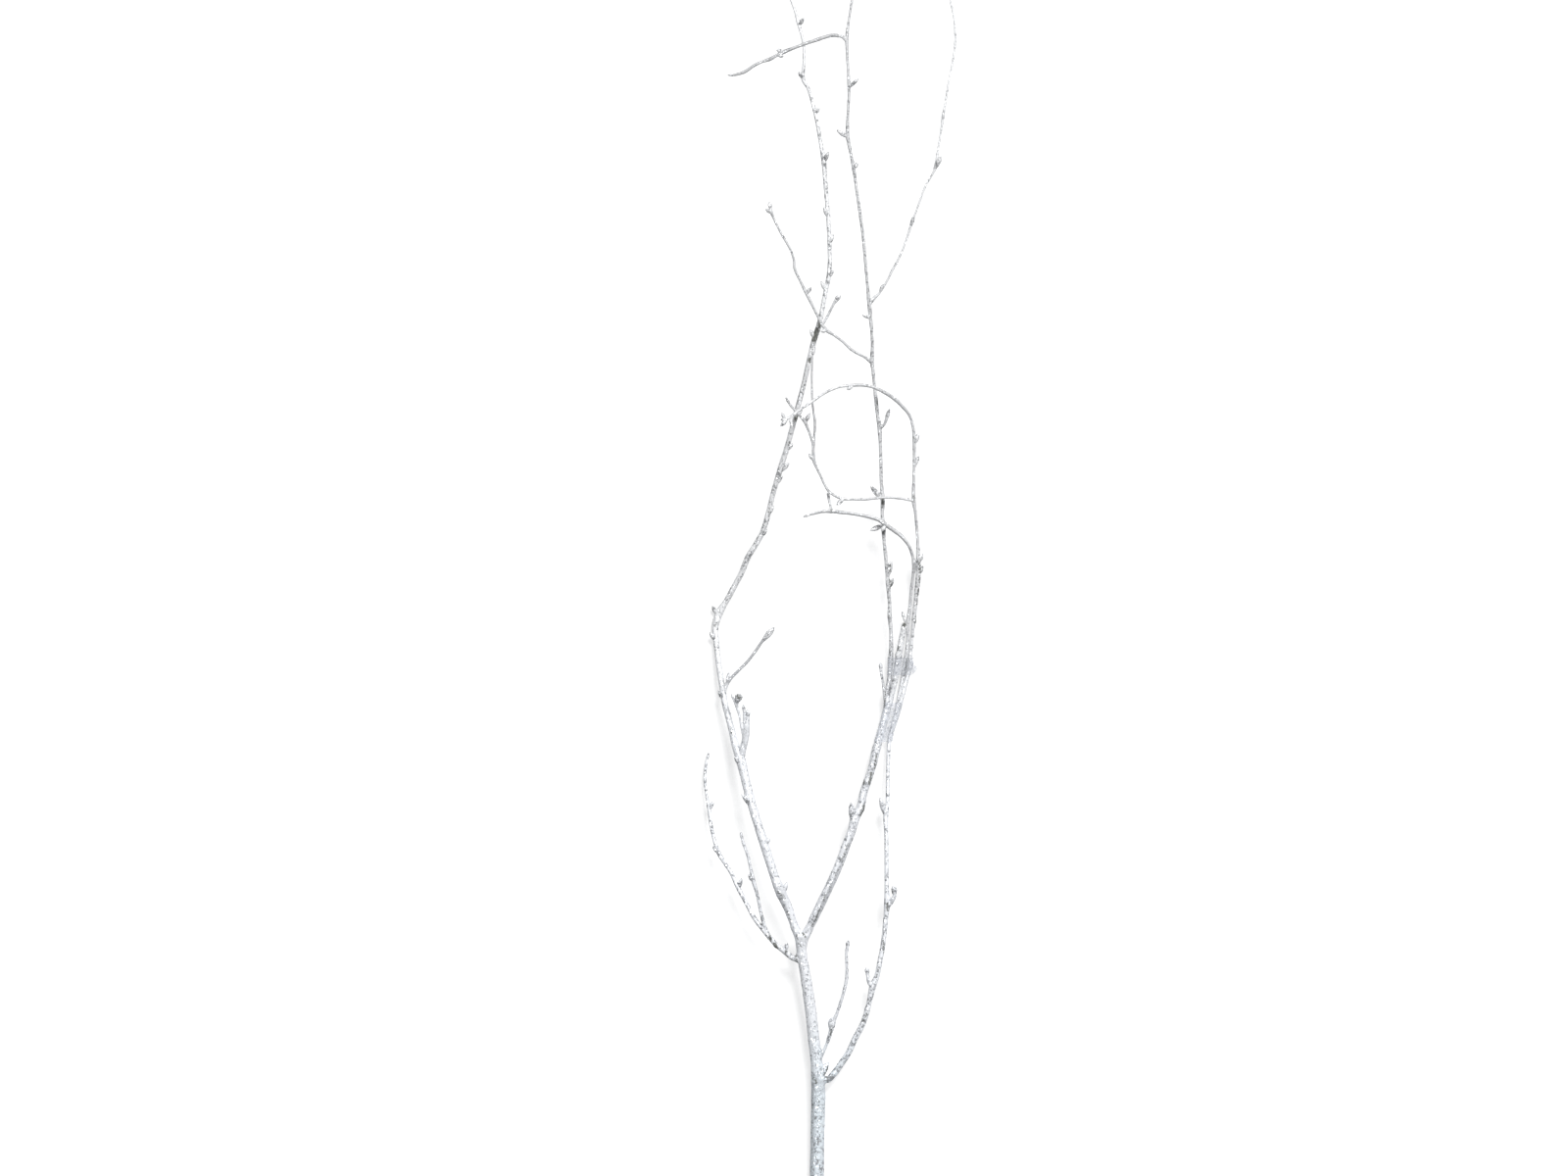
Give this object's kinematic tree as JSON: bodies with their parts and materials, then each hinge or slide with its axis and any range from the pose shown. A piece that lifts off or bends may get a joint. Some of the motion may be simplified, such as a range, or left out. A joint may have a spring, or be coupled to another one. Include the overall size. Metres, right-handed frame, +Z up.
{
  "type": "birch branch",
  "caption": "Forked birch branch coated silver white, lying down: a straight cut stem, two limbs and long, thin budded twigs that cross and arch, with two bands of clear film round strands at the right.",
  "frame": {"origin": "centre of the bounding box, on the surface that the branch lies on", "axes": "+Y along the branch from the stem's cut end to the twig tips, +X to the right as the picture shows it, +Z up from the surface"},
  "size_m": [0.1953, 1.0607, 0.0847],
  "materials": {
    "bark": "silver white paint with fine glitter over bark",
    "twig": "silver white paint with fine glitter over thin bark",
    "film": "clear wound film with fine glitter on it"
  },
  "bodies": {
    "root": {"main_stem": "bark", "left_limb": "bark", "upper_limb": "bark", "right_limb": "bark", "right_lateral": "bark", "left_lateral": "bark", "tall_twig": "twig", "crossing_twig": "twig", "far_twig": "twig", "top_twig": "twig", "arching_twig": "twig", "inner_twig": "twig", "hooked_twig": "twig", "upright_twig": "twig", "upper_band": "film", "lower_band": "film"}
  },
  "joints": []
}
